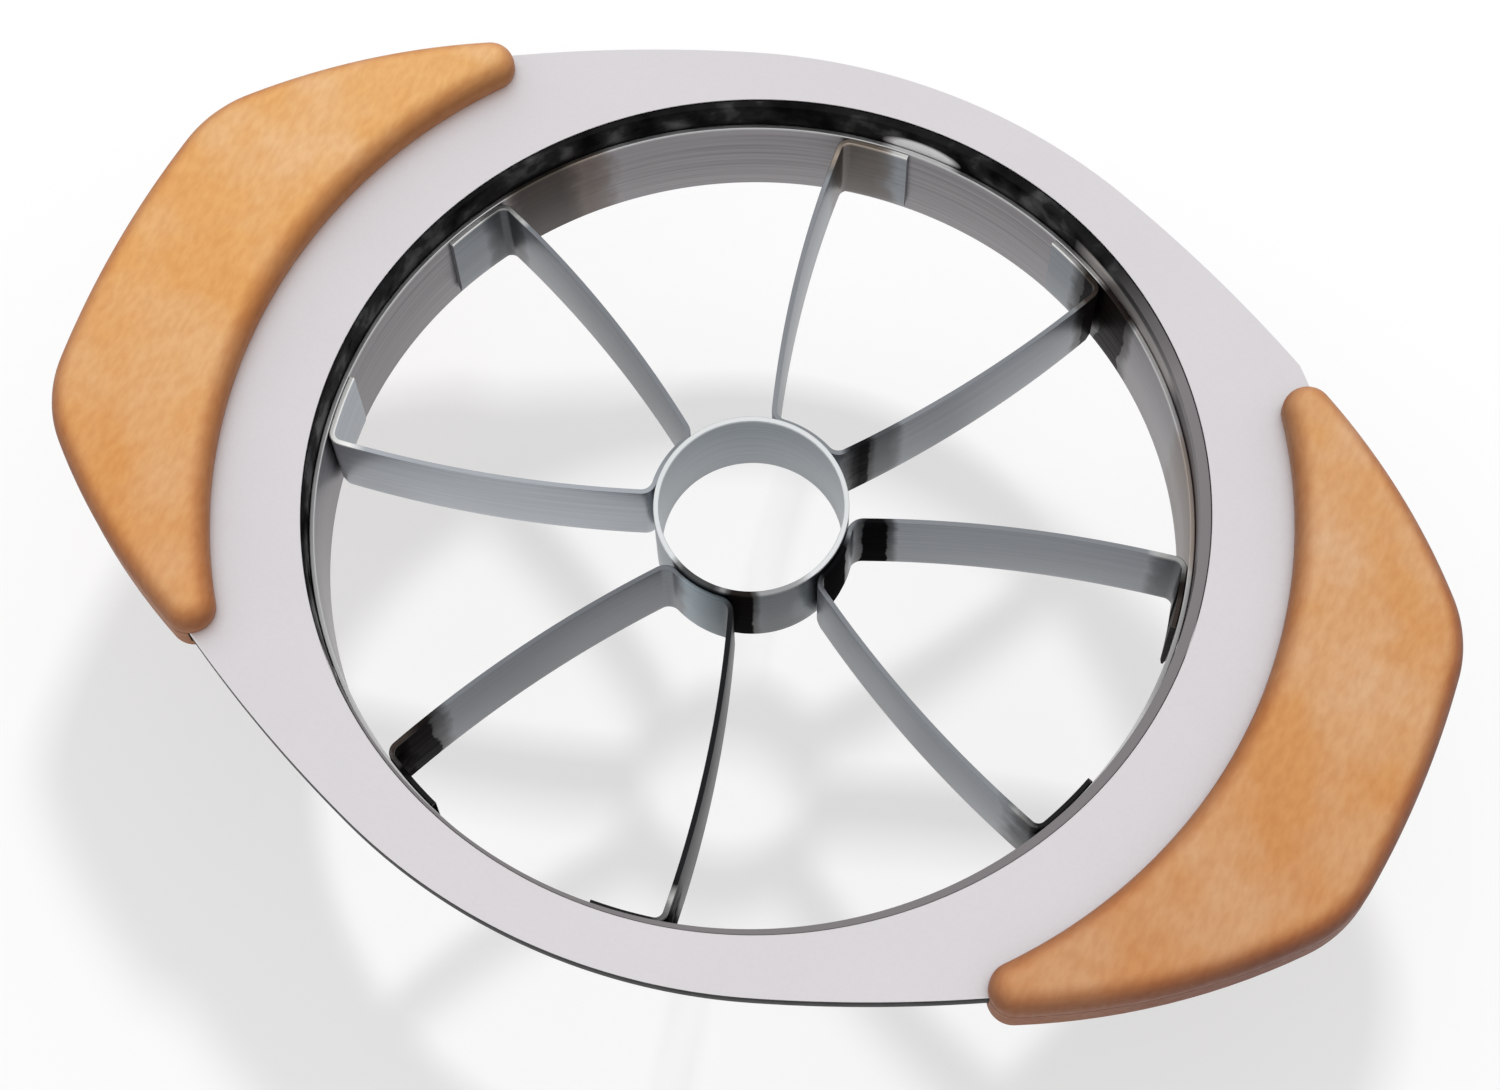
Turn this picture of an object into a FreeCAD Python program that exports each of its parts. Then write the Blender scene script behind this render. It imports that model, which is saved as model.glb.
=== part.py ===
import FreeCAD, Part
import Sketcher
import math
import os

# Eight-wedge apple slicer and corer, pushed down by hand over an apple.
# A flat stainless plate carries a dark collar in its round hole, and the collar holds
# the outer ring of strip steel. Four folded strips, two blades each, stand between a
# core ring in the middle and the outer ring. A wooden handle in two halves grips each
# end of the plate.
# Millimetres, +Z up, origin on the floor under the middle of the ring, +X along the
# handles' line.

SIZES = {
    # outer ring, the strip that the slicer stands on
    "ring_radius": 48.6,          # inside radius
    "ring_wall": 0.6,
    "ring_height": 12.7,
    # collar between the ring and the plate's hole, which isn't quite in the middle
    "hole_x": 0.4,
    "hole_y": 0.3,
    "collar_wall": 0.75,          # thicker towards the side that the hole is shifted to
    "collar_gap": 0.05,           # to the ring and to the hole
    "collar_lap": 3.5,            # how far the collar reaches down over the ring
    "collar_sink": 0.2,           # collar's top below the plate's top
    # plate
    "plate_thick": 2.2,
    "plate_rise": 4.0,            # plate's top above the ring's top
    "rim_width": 5.65,            # plate in front of and behind a hole in the middle
    "crown_offset": 12.0,         # crown arc's centre, beyond the middle of the plate
    "crown_angle": 20.2,          # half of the crown arc, degrees
    "flank_radius": 170.0,
    "shoulder_back": 10.0,        # where the flank ends, short of the handle's inner edge
    "tang_length": 11.0,          # plate inside the handle
    "tang_half_width": 17.0,
    "tang_gap": 0.15,             # between tang and its recess
    # core ring
    "core_radius": 10.3,          # inside radius
    "core_wall": 0.6,
    "core_rise": 0.8,             # core's top above the ring's top
    "core_lift": 2.0,             # core's bottom above the floor
    # folded blade strips
    "strip_thick": 0.6,
    "strip_gap": 0.05,            # to the core ring and to the outer ring
    "strip_drop": 0.1,            # strip's top below the ring's top
    "strip_lift": 1.1,            # cutting edge above the floor
    "edge_height": 1.2,           # bevel ground on both sides of the lower edge
    "edge_depth": 0.2,
    "blade_angle": 21.5,          # half of the angle between a strip's two blades
    "blade_radius": 140.0,        # the blades are slightly bowed
    "core_bend": 1.6,             # bend radii, middle of the strip
    "ring_bend": 1.2,
    "tab_length": 8.0,
    "turn_right": -4.8,           # each strip's own direction, degrees
    "turn_back": 80.2,
    "turn_left": 172.5,
    "turn_front": 261.8,
    "half_turn": 180.0,           # from the right handle to the left one
    # wooden handles
    "handle_land": 9.45,          # bare plate between a hole in the middle and a handle
    "handle_offset": 0.5,         # centre of the inner edge's arc
    "handle_width": 18.9,
    "handle_end_radius": 112.5,
    "handle_corner_radius": 15.1,
    "handle_flank_radius": 78.8,
    "handle_tip_radius": 2.8,
    "tip_right_back": 36.6,       # how far each tip is from the middle of the handle
    "tip_right_front": 42.5,
    "tip_left_back": 39.6,
    "tip_left_front": 40.2,
    "corner_right_back": 9.3,     # and each corner arc's centre
    "corner_right_front": 13.0,
    "corner_left_back": 11.5,
    "corner_left_front": 14.9,
    "handle_top_thick": 3.4,
    "handle_bottom_thick": 4.4,
    "handle_rounding": 2.4,       # of the upper edge
    "handle_under_rounding": 1.4, # of the lower one
    # countersunk wood screws
    "screw_inset": 6.9,           # from the handle's inner edge
    "screw_place": 15.0,          # from the middle of the handle
    "screw_radius": 1.5,
    "screw_gap": 0.2,
    "screw_head_radius": 2.8,
    "screw_head_height": 1.5,
    "screw_bite": 2.2,            # into the upper half
    "screw_point": 1.2,
    "screw_point_radius": 0.2,
    "recess_width": 0.6,          # cross recess in the head
    "recess_length": 3.0,
    "recess_depth": 0.9,
}

# Sizes that follow from those above, as expressions in the sheet's aliases.
FLOOR = "0"
PLATE_TOP = "(Sizes.ring_height + Sizes.plate_rise)"
COLLAR_INSIDE = "(Sizes.ring_radius + Sizes.ring_wall + Sizes.collar_gap)"
HOLE = f"({COLLAR_INSIDE} + Sizes.collar_wall + Sizes.collar_gap)"
HALF_WIDTH = f"({HOLE} + Sizes.rim_width)"
CROWN_RADIUS = f"({HALF_WIDTH} + Sizes.crown_offset)"
CROWN_END = f"({CROWN_RADIUS} * sin(Sizes.crown_angle))"
CROWN_END_Y = f"({CROWN_RADIUS} * cos(Sizes.crown_angle) - Sizes.crown_offset)"
FLANK_X = f"({CROWN_END} - Sizes.flank_radius * sin(Sizes.crown_angle))"
FLANK_Y = f"({CROWN_END_Y} - Sizes.flank_radius * cos(Sizes.crown_angle))"
HANDLE_INSIDE = f"({HOLE} + Sizes.handle_land)"
HANDLE_END = f"({HANDLE_INSIDE} + Sizes.handle_width)"
SHOULDER = f"({HANDLE_INSIDE} - Sizes.shoulder_back)"
SHOULDER_Y = f"({FLANK_Y} + sqrt(Sizes.flank_radius ^ 2 - ({SHOULDER} - {FLANK_X}) ^ 2))"
TANG_END = f"({HANDLE_INSIDE} + Sizes.tang_length)"
HANDLE_CURVE = f"({HANDLE_INSIDE} - Sizes.handle_offset)"
SCREW_X = f"({HANDLE_INSIDE} + Sizes.screw_inset)"
HANDLE_UNDERSIDE = f"({PLATE_TOP} - Sizes.handle_bottom_thick)"
COLLAR_FOOT = "(Sizes.ring_height - Sizes.collar_lap)"
COLLAR_HEIGHT = f"({PLATE_TOP} - Sizes.collar_sink - {COLLAR_FOOT})"
CORE_HEIGHT = "(Sizes.ring_height + Sizes.core_rise - Sizes.core_lift)"
WRAP_RADIUS = "(Sizes.core_radius + Sizes.core_wall + Sizes.strip_gap + Sizes.strip_thick / 2)"
TAB_RADIUS = "(Sizes.ring_radius - Sizes.strip_gap - Sizes.strip_thick / 2)"
BLADE_MIDDLE = f"(({WRAP_RADIUS} + {TAB_RADIUS}) / 2)"
BLADE_INSET = f"sqrt(Sizes.blade_radius ^ 2 - (({TAB_RADIUS} - {WRAP_RADIUS}) / 2) ^ 2)"
BLADE_X = f"({BLADE_MIDDLE} * cos(Sizes.blade_angle) + {BLADE_INSET} * sin(Sizes.blade_angle))"
BLADE_Y = f"({BLADE_MIDDLE} * sin(Sizes.blade_angle) - {BLADE_INSET} * cos(Sizes.blade_angle))"
TAB_ANGLE = f"(Sizes.blade_angle - Sizes.tab_length / {TAB_RADIUS} * 180 / pi)"

UP = FreeCAD.Vector(0, 0, 1)
ORIGIN = FreeCAD.Vector(0, 0, 0)
ANTICLOCKWISE, CLOCKWISE = 1, -1
START, END, CENTRE = range(1, 4)  # how a sketch numbers the points of a curve
AXIS_X, AXIS_Y = -1, -2           # and its own axes
# Both handles are drawn on the +X side, and a half turn takes the left one to its place.
# Its front end is therefore the one drawn on the +Y side.
HANDLE_WAYS = {"right": ("back", "front"), "left": ("front", "back")}
DIRECTIONS = {"right": "0", "left": "Sizes.half_turn"}

doc = FreeCAD.newDocument("apple_slicer")
sheet = doc.addObject("Spreadsheet::Sheet", "Sizes")
for row, (alias, value) in enumerate(SIZES.items(), start=1):
    sheet.set(f"A{row}", alias)
    sheet.set(f"B{row}", str(value))
    sheet.setAlias(f"B{row}", alias)
doc.recompute()


def number(expression):
    """Value of an expression in the sheet's aliases."""
    result = sheet.evalExpression(expression)
    return float(getattr(result, "Value", result))


def point(x, y):
    """Sketch point from two expressions."""
    return FreeCAD.Vector(number(x), number(y), 0)


def towards(start, end, distance):
    """Point at a distance from start, on the line to end."""
    return start + (end - start).normalize() * distance


def crossing(centre_a, radius_a, centre_b, radius_b, side):
    """Where two circles cross, to the left (1) or right (-1) of the line from a to b."""
    between = centre_b - centre_a
    along = (between.Length ** 2 + radius_a ** 2 - radius_b ** 2) / (2 * between.Length)
    across = math.sqrt(radius_a ** 2 - along ** 2)
    unit = FreeCAD.Vector(between).normalize()
    return centre_a + unit * along + UP.cross(unit) * (side * across)


# ---- sketches ---------------------------------------------------------------------

def origin_plane(body, role):
    """One of a body's own origin planes."""
    return next(feature for feature in body.Origin.OriginFeatures if feature.Role == role)


def body_sketch(body, name, role, offset=FLOOR):
    """Sketch on one of the body's origin planes, moved along the plane's normal."""
    sketch = body.newObject("Sketcher::SketchObject", name)
    sketch.AttachmentSupport = [(origin_plane(body, role), "")]
    sketch.MapMode = "FlatFace"
    sketch.setExpression("AttachmentOffset.Base.z", offset)
    return sketch


def arc(start, end, centre, turn):
    """Arc from start to end about centre, for draw()."""
    return {"start": start, "end": end, "centre": centre, "turn": turn}


def line(start, end):
    """Straight run from start to end, for draw()."""
    return {"start": start, "end": end, "centre": None}


def heading(piece, where):
    """Unit vector along a piece, at its start or end point."""
    if piece["centre"] is None:
        return (piece["end"] - piece["start"]).normalize()
    return UP.cross(where - piece["centre"]).normalize() * piece["turn"]


def draw(sketch, pieces, closed):
    """Add the pieces to the sketch and join each to the next, smoothly where they are."""
    ends = []
    for piece in pieces:
        if piece["centre"] is None:
            index = sketch.addGeometry(Part.LineSegment(piece["start"], piece["end"]))
            ends.append((index, START, END))
            continue
        forward = piece["turn"] == ANTICLOCKWISE
        first = piece["start"] if forward else piece["end"]
        last = piece["end"] if forward else piece["start"]
        spokes = [place - piece["centre"] for place in (first, last)]
        angles = [math.atan2(spoke.y, spoke.x) for spoke in spokes]
        circle = Part.Circle(piece["centre"], UP, spokes[0].Length)
        index = sketch.addGeometry(Part.ArcOfCircle(circle, angles[0], angles[1]))
        ends.append((index, START, END) if forward else (index, END, START))
    for this in range(len(pieces) if closed else len(pieces) - 1):
        after = (this + 1) % len(pieces)
        where = pieces[this]["end"]
        bend = heading(pieces[this], where) - heading(pieces[after], where)
        kind = "Tangent" if bend.Length < 1e-5 else "Coincident"
        here, there = ends[this], ends[after]
        sketch.addConstraint(Sketcher.Constraint(kind, here[0], here[2], there[0], there[1]))
    return ends


def size(sketch, name, expression, kind, *where):
    """Dimension in a sketch, bound to an expression."""
    index = sketch.addConstraint(Sketcher.Constraint(kind, *where, number(expression)))
    sketch.renameConstraint(index, name)
    sketch.setExpression("Constraints." + name, expression)


def fix(sketch, kind, *where):
    """Constraint without a size."""
    sketch.addConstraint(Sketcher.Constraint(kind, *where))


def on_axis(sketch, piece, axis):
    """Keep an arc's centre on an axis."""
    fix(sketch, "PointOnObject", piece, CENTRE, axis)


def circle_sketch(body, name, offset, x, y, radius):
    """Sketch of one circle, for a round hole."""
    sketch = body_sketch(body, name, "XY_Plane", offset)
    sketch.addGeometry(Part.Circle(point(x, y), UP, number(radius)))
    size(sketch, "across", x, "DistanceX", AXIS_X, START, 0, CENTRE)
    size(sketch, "along", y, "DistanceY", AXIS_X, START, 0, CENTRE)
    size(sketch, "radius", radius, "Radius", 0)
    return sketch


# ---- features ---------------------------------------------------------------------

def new_body(name):
    """Empty body whose label is the piece's name."""
    body = doc.addObject("PartDesign::Body", name)
    body.Label = name
    return body


def pad(body, sketch, length, down=False):
    """Extrude a sketch up or down."""
    feature = body.newObject("PartDesign::Pad", sketch.Name + "_pad")
    feature.Profile = sketch
    feature.Reversed = down
    feature.setExpression("Length", length)
    doc.recompute()
    return feature


def pocket(body, sketch, depth, up=False):
    """Cut a sketch down or up, and make sure that it removed something."""
    before = body.Shape.Volume
    feature = body.newObject("PartDesign::Pocket", sketch.Name + "_cut")
    feature.Profile = sketch
    feature.Reversed = up
    feature.setExpression("Length", depth)
    doc.recompute()
    if body.Shape.Volume >= before:
        raise ValueError(feature.Name + " cuts nothing")
    return feature


def mirror_body(body, role):
    """Add the body's mirror image in one of its origin planes."""
    before = body.Shape.Volume
    feature = body.newObject("PartDesign::Mirrored", body.Name + "_" + role)
    feature.TransformMode = "Whole shape"
    feature.MirrorPlane = (origin_plane(body, role), [""])
    body.Tip = feature
    doc.recompute()
    if body.Shape.Volume <= before:
        raise ValueError(feature.Name + " adds nothing")
    return feature


def mirror_cuts(body, cuts):
    """Repeat a handle's cuts on the other side of its middle."""
    before = body.Shape.Volume
    feature = body.newObject("PartDesign::Mirrored", body.Name + "_cuts")
    feature.Originals = cuts
    feature.MirrorPlane = (origin_plane(body, "XZ_Plane"), [""])
    body.Tip = feature
    doc.recompute()
    if body.Shape.Volume >= before:
        raise ValueError(feature.Name + " cuts nothing")


def round_level(body, level, radius):
    """Fillet the edges that lie flat at one height."""
    height = number(level)
    edges = [f"Edge{index}" for index, edge in enumerate(body.Shape.Edges, start=1)
             if abs(edge.BoundBox.ZMin - height) < 1e-6 and edge.BoundBox.ZLength < 1e-6]
    base = body.Tip
    feature = body.newObject("PartDesign::Fillet", body.Name + "_rounding")
    feature.Base = (base, edges)
    feature.setExpression("Radius", radius)
    body.Tip = feature
    doc.recompute()
    return feature


def turn(piece, angle):
    """Turn a piece about the vertical axis."""
    piece.Placement = FreeCAD.Placement(ORIGIN, FreeCAD.Rotation(UP, 1.0))
    piece.setExpression("Placement.Rotation.Angle", angle)


# ---- the pieces -------------------------------------------------------------------

def plate_quarter(body, name, offset, gap):
    """Quarter of the plate's outline, larger by gap all round."""
    sketch = body_sketch(body, name, "XY_Plane", offset)
    crown = point("0", f"{HALF_WIDTH} + {gap}")
    crown_centre = point("0", "-Sizes.crown_offset")
    flank_centre = point(FLANK_X, FLANK_Y)
    join = towards(flank_centre, point(CROWN_END, CROWN_END_Y),
                   number(f"Sizes.flank_radius + {gap}"))
    reach = number(f"{SHOULDER}") - flank_centre.x
    rise = math.sqrt(number(f"Sizes.flank_radius + {gap}") ** 2 - reach ** 2)
    shoulder = flank_centre + FreeCAD.Vector(reach, rise, 0)
    tang = point(f"{TANG_END} + {gap}", f"Sizes.tang_half_width + {gap}")
    foot = point(f"{TANG_END} + {gap}", "0")
    draw(sketch, [
        line(ORIGIN, crown),
        arc(crown, join, crown_centre, CLOCKWISE),
        arc(join, shoulder, flank_centre, CLOCKWISE),
        line(shoulder, tang),
        line(tang, foot),
        line(foot, ORIGIN),
    ], closed=True)
    middle_line, crown_arc, flank_arc, shoulder_line, end_line, long_line = range(6)
    fix(sketch, "Coincident", middle_line, START, AXIS_X, START)
    fix(sketch, "Vertical", middle_line)
    fix(sketch, "Vertical", end_line)
    fix(sketch, "Horizontal", long_line)
    on_axis(sketch, crown_arc, AXIS_Y)
    size(sketch, "half_width", f"{HALF_WIDTH} + {gap}", "DistanceY", middle_line, START,
         middle_line, END)
    size(sketch, "crown_radius", f"{CROWN_RADIUS} + {gap}", "Radius", crown_arc)
    size(sketch, "flank_radius", f"Sizes.flank_radius + {gap}", "Radius", flank_arc)
    size(sketch, "flank_centre", FLANK_X, "DistanceX", AXIS_X, START, flank_arc, CENTRE)
    size(sketch, "shoulder", SHOULDER, "DistanceX", AXIS_X, START, shoulder_line, START)
    size(sketch, "tang_end", f"{TANG_END} + {gap}", "DistanceX", AXIS_X, START,
         end_line, START)
    size(sketch, "tang_width", f"Sizes.tang_half_width + {gap}", "DistanceY", AXIS_X, START,
         end_line, START)
    return sketch


def frame_plate():
    """Flat pointed-oval plate with a round hole for the collar."""
    body = new_body("frame_plate")
    underside = f"{PLATE_TOP} - Sizes.plate_thick"
    pad(body, plate_quarter(body, "plate_outline", underside, "0"), "Sizes.plate_thick")
    pocket(body, circle_sketch(body, "screw_hole", PLATE_TOP, SCREW_X, "Sizes.screw_place",
                               "Sizes.screw_radius + Sizes.screw_gap"), "Sizes.plate_thick")
    mirror_body(body, "XZ_Plane")
    mirror_body(body, "YZ_Plane")
    pocket(body, circle_sketch(body, "round_hole", PLATE_TOP, "Sizes.hole_x", "Sizes.hole_y",
                               HOLE), "Sizes.plate_thick")
    return body


def strip_band(name, radius, wall, bottom, height):
    """Closed band of strip steel, standing on edge."""
    body = new_body(name)
    sketch = body_sketch(body, name + "_section", "XY_Plane", bottom)
    for index, edge in enumerate((radius, f"{radius} + {wall}")):
        sketch.addGeometry(Part.Circle(ORIGIN, UP, number(edge)))
        fix(sketch, "Coincident", index, CENTRE, AXIS_X, START)
        size(sketch, ("inside", "outside")[index], edge, "Radius", index)
    pad(body, sketch, height)
    return body


def collar():
    """Band that fills the step between the ring and the plate's hole."""
    body = new_body("collar")
    outside = circle_sketch(body, "collar_outside", COLLAR_FOOT, "Sizes.hole_x",
                            "Sizes.hole_y", f"{HOLE} - Sizes.collar_gap")
    pad(body, outside, COLLAR_HEIGHT)
    inside = circle_sketch(body, "collar_inside", f"{COLLAR_FOOT} + {COLLAR_HEIGHT}", "0", "0",
                           COLLAR_INSIDE)
    pocket(body, inside, COLLAR_HEIGHT)
    return body


def grind(body):
    """Bevel both sides of a strip's lower edge, all but the ends of its tabs."""
    base = body.Tip
    foot = number("Sizes.strip_lift")
    edges = [f"Edge{index}" for index, edge in enumerate(base.Shape.Edges, start=1)
             if edge.BoundBox.ZMax < foot + 1e-6 and edge.Curve.TypeId == "Part::GeomCircle"]
    feature = body.newObject("PartDesign::Chamfer", body.Name + "_edge")
    feature.Base = (base, edges)
    feature.ChamferType = "Two distances"
    feature.setExpression("Size", "Sizes.edge_height")
    feature.setExpression("Size2", "Sizes.edge_depth")
    body.Tip = feature
    doc.recompute()


def strip_side(centres, radii):
    """Corners of one face of a half strip, from the core ring to the end of the tab."""
    wrap_centre, core_bend, bow_centre, ring_bend, tab_centre = centres
    return [
        FreeCAD.Vector(radii[0], 0, 0),
        towards(wrap_centre, core_bend, radii[0]),
        towards(bow_centre, core_bend, radii[2]),
        towards(bow_centre, ring_bend, radii[2]),
        towards(tab_centre, ring_bend, radii[4]),
        FreeCAD.Vector(math.cos(math.radians(number(TAB_ANGLE))),
                       math.sin(math.radians(number(TAB_ANGLE))), 0) * radii[4],
    ]


def blade_strip(name, direction):
    """Folded strip: tab, blade, wrap round the core, blade, tab. Half of it, mirrored."""
    body = new_body(name)
    half = number("Sizes.strip_thick / 2")
    bow_centre = point(BLADE_X, BLADE_Y)
    middle = [number(radius) for radius in (WRAP_RADIUS, "Sizes.core_bend",
                                            "Sizes.blade_radius", "Sizes.ring_bend",
                                            TAB_RADIUS)]
    core_bend = crossing(ORIGIN, middle[0] + middle[1], bow_centre, middle[2] - middle[1], 1)
    ring_bend = crossing(ORIGIN, middle[4] - middle[3], bow_centre, middle[2] - middle[3], 1)
    centres = [ORIGIN, core_bend, bow_centre, ring_bend, ORIGIN]
    turns = [ANTICLOCKWISE, CLOCKWISE, CLOCKWISE, CLOCKWISE, CLOCKWISE]
    facing = [middle[0] + half] + [radius - half for radius in middle[1:]]
    away = [middle[0] - half] + [radius + half for radius in middle[1:]]
    facing_corners, away_corners = strip_side(centres, facing), strip_side(centres, away)
    outline = [arc(*ends, centre, way) for *ends, centre, way in
               zip(facing_corners, facing_corners[1:], centres, turns)]
    outline.append(line(facing_corners[-1], away_corners[-1]))
    outline += [arc(*ends, centre, -way) for *ends, centre, way in
                reversed(list(zip(away_corners[1:], away_corners, centres, turns)))]
    outline.append(line(away_corners[0], facing_corners[0]))
    sketch = body_sketch(body, name + "_outline", "XY_Plane", "Sizes.strip_lift")
    draw(sketch, outline, closed=True)
    tab_end, middle_line = 5, 11
    for index in range(5):
        fix(sketch, "Coincident", index, CENTRE, 10 - index, CENTRE)
    for index in (0, 4):
        fix(sketch, "Coincident", index, CENTRE, AXIS_X, START)
    for place in (START, END):
        fix(sketch, "PointOnObject", middle_line, place, AXIS_X)
    fix(sketch, "PointOnObject", AXIS_X, START, tab_end)
    size(sketch, "wrap", f"{WRAP_RADIUS} + Sizes.strip_thick / 2", "Radius", 0)
    for index, radius in enumerate(("Sizes.core_bend", "Sizes.blade_radius",
                                    "Sizes.ring_bend", TAB_RADIUS), start=1):
        size(sketch, f"radius_{index}", f"{radius} - Sizes.strip_thick / 2", "Radius", index)
    size(sketch, "thickness", "Sizes.strip_thick", "DistanceX", middle_line, START,
         middle_line, END)
    size(sketch, "bow_x", BLADE_X, "DistanceX", AXIS_X, START, 2, CENTRE)
    size(sketch, "bow_y", BLADE_Y, "DistanceY", AXIS_X, START, 2, CENTRE)
    size(sketch, "tab", f"({TAB_RADIUS} - Sizes.strip_thick / 2) * sin({TAB_ANGLE})",
         "DistanceY", AXIS_X, START, tab_end, START)
    pad(body, sketch, "Sizes.ring_height - Sizes.strip_drop - Sizes.strip_lift")
    mirror_body(body, "XZ_Plane")
    grind(body)
    turn(body, direction)
    return body


def handle_side(way, tip_y, corner_y):
    """Joints and arc centres of a handle's outline, from its inner edge to its outer."""
    tip_radius = number("Sizes.handle_tip_radius")
    corner_radius = number("Sizes.handle_corner_radius")
    flank_radius = number("Sizes.handle_flank_radius")
    end_radius = number("Sizes.handle_end_radius")
    inner_radius = number(HANDLE_CURVE)
    inner_centre = point("Sizes.handle_offset", "0")
    end_centre = point(f"{HANDLE_END} - Sizes.handle_end_radius", "0")
    tip_reach = math.sqrt((inner_radius + tip_radius) ** 2 - tip_y ** 2)
    tip = inner_centre + FreeCAD.Vector(tip_reach, way * tip_y, 0)
    corner_reach = math.sqrt((end_radius - corner_radius) ** 2 - corner_y ** 2)
    corner = end_centre + FreeCAD.Vector(corner_reach, way * corner_y, 0)
    flank = crossing(tip, flank_radius - tip_radius, corner, flank_radius - corner_radius,
                     -way)
    joints = [
        towards(inner_centre, tip, inner_radius),
        towards(flank, tip, flank_radius),
        towards(flank, corner, flank_radius),
        towards(end_centre, corner, end_radius),
    ]
    return joints, [tip, flank, corner]


def handle_outline(body, name, side):
    """Crescent outline of a handle, eight arcs, at the plate's top."""
    sketch = body_sketch(body, name, "XY_Plane", PLATE_TOP)
    plus, minus = HANDLE_WAYS[side]
    tips = [f"Sizes.tip_{side}_{end} - Sizes.handle_tip_radius" for end in (plus, minus)]
    corners = [f"Sizes.corner_{side}_{end}" for end in (plus, minus)]
    up, up_centres = handle_side(1, number(tips[0]), number(corners[0]))
    down, down_centres = handle_side(-1, number(tips[1]), number(corners[1]))
    inner_centre = point("Sizes.handle_offset", "0")
    end_centre = point(f"{HANDLE_END} - Sizes.handle_end_radius", "0")
    draw(sketch, [
        arc(down[0], up[0], inner_centre, ANTICLOCKWISE),
        arc(up[0], up[1], up_centres[0], CLOCKWISE),
        arc(up[1], up[2], up_centres[1], CLOCKWISE),
        arc(up[2], up[3], up_centres[2], CLOCKWISE),
        arc(up[3], down[3], end_centre, CLOCKWISE),
        arc(down[3], down[2], down_centres[2], CLOCKWISE),
        arc(down[2], down[1], down_centres[1], CLOCKWISE),
        arc(down[1], down[0], down_centres[0], CLOCKWISE),
    ], closed=True)
    inner_arc, up_tip, up_flank, up_corner, end_arc, down_corner, down_flank, down_tip = range(8)
    for piece in (inner_arc, end_arc):
        on_axis(sketch, piece, AXIS_X)
    for label, expression, arcs in (
            ("inner", HANDLE_CURVE, [inner_arc]),
            ("tip", "Sizes.handle_tip_radius", [up_tip, down_tip]),
            ("flank", "Sizes.handle_flank_radius", [up_flank, down_flank]),
            ("corner", "Sizes.handle_corner_radius", [up_corner, down_corner]),
            ("end", "Sizes.handle_end_radius", [end_arc])):
        for piece in arcs:
            size(sketch, f"{label}_{piece}", expression, "Radius", piece)
    for label, expression, axis, piece in (
            ("inner_x", "Sizes.handle_offset", "DistanceX", inner_arc),
            ("end_x", f"{HANDLE_END} - Sizes.handle_end_radius", "DistanceX", end_arc),
            ("up_tip_y", tips[0], "DistanceY", up_tip),
            ("down_tip_y", f"-({tips[1]})", "DistanceY", down_tip),
            ("up_corner_y", corners[0], "DistanceY", up_corner),
            ("down_corner_y", f"-{corners[1]}", "DistanceY", down_corner)):
        size(sketch, label, expression, axis, AXIS_X, START, piece, CENTRE)
    return sketch


def handle_top(side):
    """Upper half of a handle, flat on the plate, with pilot holes from below."""
    name = "handle_top_" + side
    body = new_body(name)
    pad(body, handle_outline(body, name + "_outline", side), "Sizes.handle_top_thick")
    pilot = pocket(body, circle_sketch(body, name + "_pilot", PLATE_TOP, SCREW_X,
                                       "Sizes.screw_place", "Sizes.screw_radius"),
                   "Sizes.screw_bite", up=True)
    mirror_cuts(body, [pilot])
    round_level(body, f"{PLATE_TOP} + Sizes.handle_top_thick", "Sizes.handle_rounding")
    turn(body, DIRECTIONS[side])
    return body


def handle_bottom(side):
    """Lower half of a handle, with a recess for the tang and countersunk screw holes."""
    name = "handle_bottom_" + side
    body = new_body(name)
    pad(body, handle_outline(body, name + "_outline", side), "Sizes.handle_bottom_thick",
        down=True)
    recess = pocket(body, plate_quarter(body, name + "_recess", PLATE_TOP, "Sizes.tang_gap"),
                    "Sizes.plate_thick")
    hole = pocket(body, circle_sketch(body, name + "_hole", PLATE_TOP, SCREW_X,
                                      "Sizes.screw_place",
                                      "Sizes.screw_radius + Sizes.screw_gap"),
                  "Sizes.handle_bottom_thick")
    mirror_cuts(body, [recess, hole, countersink(body, name)])
    round_level(body, HANDLE_UNDERSIDE, "Sizes.handle_under_rounding")
    turn(body, DIRECTIONS[side])
    return body


def countersink(body, name):
    """Cone cut for the screw's head, coaxial with the screw."""
    before = body.Shape.Volume
    sketch = body_sketch(body, name + "_countersink", "XZ_Plane", "-Sizes.screw_place")
    rim = f"{SCREW_X} + Sizes.screw_head_radius + Sizes.screw_gap"
    neck = f"{SCREW_X} + Sizes.screw_radius + Sizes.screw_gap"
    depth = f"{HANDLE_UNDERSIDE} + Sizes.screw_head_height"
    corners = [(SCREW_X, HANDLE_UNDERSIDE), (rim, HANDLE_UNDERSIDE), (neck, depth),
               (SCREW_X, depth)]
    places = [point(x, y) for x, y in corners]
    draw(sketch, [line(start, end) for start, end in zip(places, places[1:] + places[:1])],
         closed=True)
    for index, (x, y) in enumerate(corners):
        size(sketch, f"x_{index}", x, "DistanceX", AXIS_X, START, index, START)
        size(sketch, f"y_{index}", y, "DistanceY", AXIS_X, START, index, START)
    axis = sketch.addGeometry(Part.LineSegment(places[0], places[3]), True)
    fix(sketch, "Coincident", axis, START, 0, START)
    fix(sketch, "Coincident", axis, END, 3, START)
    doc.recompute()
    groove = body.newObject("PartDesign::Groove", name + "_seat")
    groove.Profile = sketch
    groove.ReferenceAxis = (sketch, ["Axis0"])
    groove.Angle = 360
    doc.recompute()
    if body.Shape.Volume >= before:
        raise ValueError(groove.Name + " cuts nothing")
    return groove


def solid(kind, name, base, **sizes):
    """Part primitive with its place and sizes bound to expressions."""
    piece = doc.addObject(kind, name)
    for prop, expression in sizes.items():
        piece.setExpression(prop, expression)
    for axis, expression in zip("xyz", base):
        piece.setExpression(f"Placement.Base.{axis}", expression)
    return piece


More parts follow.
